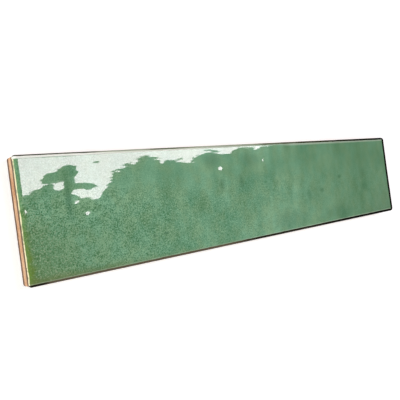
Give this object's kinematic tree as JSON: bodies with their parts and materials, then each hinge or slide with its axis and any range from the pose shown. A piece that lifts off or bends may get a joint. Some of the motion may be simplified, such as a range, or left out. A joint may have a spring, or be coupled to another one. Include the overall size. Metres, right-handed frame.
{
  "type": "ceramic wall tile",
  "caption": "Long narrow ceramic wall tile with a glossy, hand-made looking green glaze that rolls over its edges, a bare red-clay biscuit below and a keyed flat back for adhesive.",
  "frame": {"origin": "centre of the back face, on the plane that the tile lies on or is stuck down by", "axes": "+X along the tile's length, +Y across its width, +Z out of the glazed face"},
  "size_m": [0.25, 0.05, 0.0086],
  "materials": {
    "glaze": "gloss"
  },
  "bodies": {
    "root": {"tile": "glaze"}
  },
  "joints": []
}
